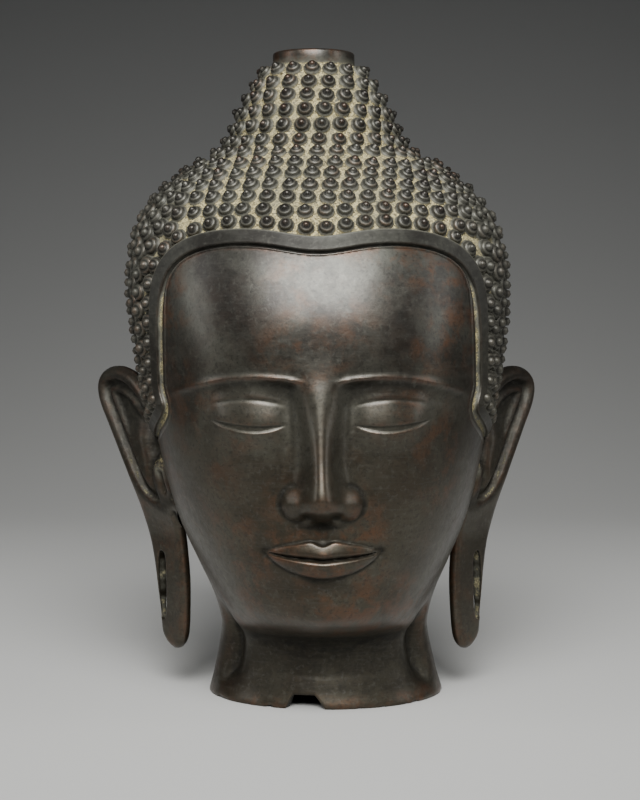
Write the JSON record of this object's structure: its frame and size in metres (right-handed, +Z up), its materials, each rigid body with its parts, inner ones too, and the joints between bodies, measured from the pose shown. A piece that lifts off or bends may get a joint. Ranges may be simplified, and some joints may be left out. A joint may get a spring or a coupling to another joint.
{
  "type": "bronze buddha head",
  "caption": "Hollow-cast bronze buddha head with snail curls, topknot, long slit ears and a hollow neck that it stands on, for display.",
  "frame": {"origin": "centre of the bounding box, on the plane of the neck rim that the head stands on", "axes": "+Z up, the face looks along -Y, +X to the right of a viewer facing it"},
  "size_m": [0.23, 0.2254, 0.33],
  "materials": {
    "bronze": "cast bronze with a dark brown to green-black patina, pale crust between the curls and worn reddish edges"
  },
  "bodies": {
    "root": {"head": "bronze"}
  },
  "joints": []
}
